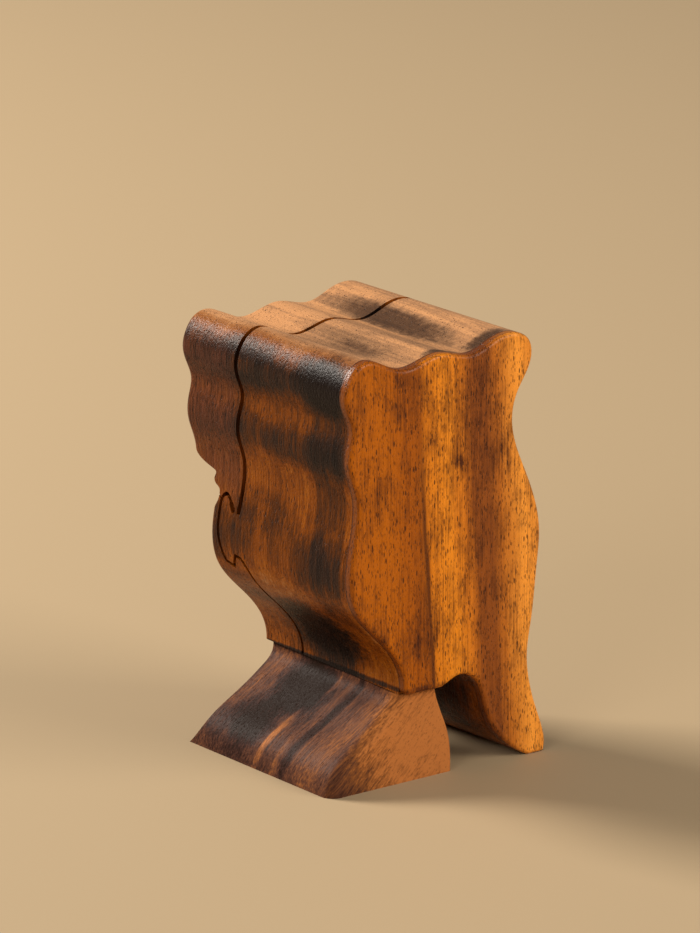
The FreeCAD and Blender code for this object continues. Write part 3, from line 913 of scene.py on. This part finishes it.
@dataclass
class FeltSheet:
    """A cut sheet of felt, glued where its CAD solid lies. Lengths are in millimetres."""

    node: str
    body: Body
    hold: Hold
    rests_on: str
    material: bpy.types.Material
    corner: float = 0.0
    pitch: float = 0.9
    least_cells: int = 8
    fluff: float = 0.07
    nap_pace: float = 0.9
    low_side_nap: float = 0.4
    nap_seed: int = 7
    margin: float = 0.06

    def build(self) -> bpy.types.Object:
        """Makes the sheet in its solid's box.

        Returns:
            The sheet.
        """
        low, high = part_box(self.node)
        size = high - low
        thin = min(range(3), key=lambda axis: size[axis])
        wide, tall = [axis for axis in range(3) if axis != thin]
        data = self.mesh(low, size, (wide, tall, thin))
        data.materials.append(self.material)
        sheet = new_object(self.node + "_sheet", data)
        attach(sheet, self.body.value)
        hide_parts(self.node)
        LOG.info("%s laid on %s", sheet.name, self.rests_on)
        return sheet

    def cells(self, length: float) -> int:
        """How many cells of the mesh lie along a length in metres."""
        return max(self.least_cells, round(length / MM / self.pitch))

    def mesh(self, low: Vector, size: Vector, axes: tuple[int, int, int]) -> bpy.types.Mesh:
        """Makes the sheet's two napped faces and the rim between them.

        Args:
            low: The lowest corner of the sheet's box.
            size: The box's size.
            axes: The box's wide, tall and thin axes.

        Returns:
            The mesh.
        """
        columns = self.cells(size[axes[0]])
        rows = self.cells(size[axes[1]])
        nap_noise.seed_set(self.nap_seed)
        mesh = bmesh.new()
        faces = []
        for side in (0.0, 1.0):
            grid = []
            for j in range(rows + 1):
                shares = [(i / columns, j / rows, side) for i in range(columns + 1)]
                grid.append([mesh.verts.new(self.spot(low, size, axes, share)) for share in shares])
            faces.append(grid)
        for grid in faces:
            for j in range(rows):
                for i in range(columns):
                    mesh.faces.new((grid[j][i], grid[j][i + 1], grid[j + 1][i + 1], grid[j + 1][i]))
        rim = [(0, i) for i in range(columns)] + [(j, columns) for j in range(rows)]
        rim += [(rows, i) for i in range(columns, 0, -1)] + [(j, 0) for j in range(rows, 0, -1)]
        first, second = faces
        for (j, i), (n, m) in zip(rim, rim[1:] + rim[:1]):
            mesh.faces.new((first[j][i], first[n][m], second[n][m], second[j][i]))
        bmesh.ops.recalc_face_normals(mesh, faces=mesh.faces)
        data = bpy.data.meshes.new(self.node + "_sheet")
        mesh.to_mesh(data)
        mesh.free()
        data.polygons.foreach_set("use_smooth", [True] * len(data.polygons))
        return data

    def spot(self, low: Vector, size: Vector, axes: tuple[int, int, int], share: Place) -> Vector:
        """A point of the sheet.

        Args:
            low: The lowest corner of the sheet's box.
            size: The box's size.
            axes: The box's wide, tall and thin axes.
            share: The shares along those axes, from 0 to 1.

        Returns:
            The point, moved a little by the nap.
        """
        wide, tall, thin = axes
        up = share[1] * size[tall]
        edge = min(up, size[tall] - up)
        radius = self.corner * MM
        pulled = 0.0
        if edge < radius:
            pulled = radius - math.sqrt(max(radius ** 2 - (radius - edge) ** 2, 0.0))
        point = Vector(low)
        point[wide] += pulled + share[0] * (size[wide] - 2 * pulled)
        point[tall] += up
        point[thin] += size[thin] * (self.margin + (1.0 - 2.0 * self.margin) * share[2])
        nap = nap_noise.noise_vector(point / MM * self.nap_pace)
        strength = 1.0 if share[2] > MIDDLE else self.low_side_nap
        return point + Vector(nap) * (self.fluff * MM * strength)


@dataclass
class SubAssembly:
    """One body of the box: CAD pieces that keep their shape and get a finish, and its felt."""

    stock: Stock
    body: ClassVar[Body]

    def finishes(self) -> dict[str, bpy.types.Material]:
        """The finish of each CAD piece, by its name."""
        raise NotImplementedError

    def sheets(self) -> tuple[FeltSheet, ...]:
        """The sheets of felt that line the body."""
        return ()

    def dress(self) -> None:
        """Puts each piece's finish on it, and lays the felt."""
        for name, material in self.finishes().items():
            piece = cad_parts[name]
            piece.data.materials.clear()
            piece.data.materials.append(material)
            LOG.info("%s on %s wears %s", name, self.body.value, material.name)
        for sheet in self.sheets():
            sheet.build()


@dataclass
class Case(SubAssembly):
    """Core block with the front panel, its magnets, and felt in the compartment and the pocket."""

    body: ClassVar[Body] = Body.CASE
    back_felt_corner: float = 7.6

    def finishes(self) -> dict[str, bpy.types.Material]:
        """The finish of each CAD piece, by its name."""
        return {
            "core_block": self.stock.block,
            "front_panel": self.stock.panel,
            "core_seam_magnets": self.stock.nickel,
            "core_lower_magnets": self.stock.nickel,
            "core_foot_magnet": self.stock.nickel,
        }

    def sheets(self) -> tuple[FeltSheet, ...]:
        """The sheets of felt that line the body."""
        felt = self.stock.felt
        corner = self.back_felt_corner
        return (
            FeltSheet("compartment_floor_felt", self.body, Hold.LAID, "core_block", felt),
            FeltSheet("compartment_back_felt", self.body, Hold.STRETCHED, "front_panel", felt, corner),
            FeltSheet("pocket_felt", self.body, Hold.LAID, "core_block", felt),
        )


@dataclass
class UpperCover(SubAssembly):
    """Back top quarter with its magnets and its felt."""

    body: ClassVar[Body] = Body.UPPER_COVER
    felt_corner: float = 7.6

    def finishes(self) -> dict[str, bpy.types.Material]:
        """The finish of each CAD piece, by its name."""
        return {"upper_cover": self.stock.block, "cover_magnets": self.stock.nickel}

    def sheets(self) -> tuple[FeltSheet, ...]:
        """The sheets of felt that line the body."""
        felt = self.stock.felt
        return (FeltSheet("cover_felt", self.body, Hold.STRETCHED, "upper_cover", felt, self.felt_corner),)


@dataclass
class LowerCover(SubAssembly):
    """Back lower quarter with its magnets."""

    body: ClassVar[Body] = Body.LOWER_COVER

    def finishes(self) -> dict[str, bpy.types.Material]:
        """The finish of each CAD piece, by its name."""
        return {"lower_cover": self.stock.block, "lower_cover_magnets": self.stock.nickel}


@dataclass
class Foot(SubAssembly):
    """Flared foot with its dowels, its pin and its magnet."""

    body: ClassVar[Body] = Body.FOOT

    def finishes(self) -> dict[str, bpy.types.Material]:
        """The finish of each CAD piece, by its name."""
        return {
            "foot": self.stock.foot,
            "foot_lock_dowel": self.stock.dowel,
            "foot_plain_dowel": self.stock.dowel,
            "foot_locating_pin": self.stock.dowel,
            "foot_magnet": self.stock.nickel,
        }


@dataclass
class Lock(SubAssembly):
    """Sliding bolt and its finger peg."""

    body: ClassVar[Body] = Body.LOCK

    def finishes(self) -> dict[str, bpy.types.Material]:
        """The finish of each CAD piece, by its name."""
        return {"lock_bolt": self.stock.dowel, "lock_peg": self.stock.dowel}


# Floor, lamps and camera


def turn_to(thing: bpy.types.Object, way: Vector) -> None:
    """Turns a lamp or a camera to look along a direction."""
    thing.rotation_mode = "QUATERNION"
    thing.rotation_quaternion = way.to_track_quat("-Z", "Y")


@dataclass(frozen=True)
class Lamp:
    """A soft square lamp, in metres and watts."""

    name: str
    place: Place
    size: float
    power: float
    colour: Colour

    def hang(self, aim: Place) -> None:
        """Makes the lamp.

        Args:
            aim: The point that it faces.
        """
        data = bpy.data.lights.new(self.name, "AREA")
        data.shape = "SQUARE"
        data.size = self.size
        data.energy = self.power
        data.color = self.colour
        lamp = new_object(self.name, data)
        lamp.location = self.place
        turn_to(lamp, Vector(aim) - Vector(self.place))


@dataclass
class Studio:
    """Plain pale floor, soft lamps and the camera, in metres."""

    eye: Place = (-1.38403, -1.79637, 0.75671)
    look: Place = (0.58415, 0.76052, -0.28352)
    lens: float = 308.7
    sensor: float = 36.0
    clip: Step = (0.05, 50.0)
    floor_half: float = 6.0
    floor_colour: Colour = (0.4, 0.3, 0.18)
    floor_roughness: float = 0.65
    floor_shine: float = 0.3
    world_colour: Colour = (0.86, 0.83, 0.78)
    world_strength: float = 0.2
    middle: Place = (0.0, 0.0, 0.07)
    lamps: tuple[Lamp, ...] = (
        Lamp("window", (-0.7, 1.5, 1.0), 0.7, 66.0, (1.0, 0.92, 0.83)),
        Lamp("front", (0.75, -1.45, 0.95), 1.0, 26.5, (1.0, 0.91, 0.8)),
        Lamp("left", (-1.4, -0.7, 0.95), 0.7, 7.5, (1.0, 0.94, 0.88)),
    )

    def set_camera(self) -> None:
        """Makes the camera at the photo's angle."""
        data = bpy.data.cameras.new("camera")
        data.lens = self.lens
        data.sensor_width = self.sensor
        data.clip_start, data.clip_end = self.clip
        eye = new_object("camera", data)
        eye.location = self.eye
        turn_to(eye, Vector(self.look))
        bpy.context.scene.camera = eye

    def lay_floor(self) -> None:
        """Makes the floor."""
        data = bpy.data.meshes.new("floor")
        half = self.floor_half
        corners = [(-half, -half, 0.0), (half, -half, 0.0), (half, half, 0.0), (-half, half, 0.0)]
        data.from_pydata(corners, [], [(0, 1, 2, 3)])
        floor = new_object("floor", data)
        shader = Shader("pale_floor")
        shader.feed(
            Base_Color=(*self.floor_colour, 1.0),
            Roughness=self.floor_roughness,
            Specular_IOR_Level=self.floor_shine,
        )
        data.materials.append(shader.material)

    def light_room(self) -> None:
        """Makes the world's even light."""
        world = bpy.data.worlds.new("soft_room")
        world.use_nodes = True
        back = world.node_tree.nodes["Background"]
        back.inputs["Color"].default_value = (*self.world_colour, 1.0)
        back.inputs["Strength"].default_value = self.world_strength
        bpy.context.scene.world = world

    def build(self) -> None:
        """Makes the camera, the floor, the lamps and the world's light."""
        self.set_camera()
        self.lay_floor()
        for lamp in self.lamps:
            lamp.hang(self.middle)
        self.light_room()
        bpy.context.scene.view_settings.view_transform = "Standard"
        LOG.info("studio is lit")


def main() -> None:
    """Dresses the box body by body and lights it."""
    logging.basicConfig(level=logging.INFO, format="%(name)s: %(message)s")
    Studio().build()
    stock = Stock.build()
    for sub_assembly in (Case, UpperCover, LowerCover, Foot, Lock):
        sub_assembly(stock).dress()


if __name__ == "__main__":
    main()
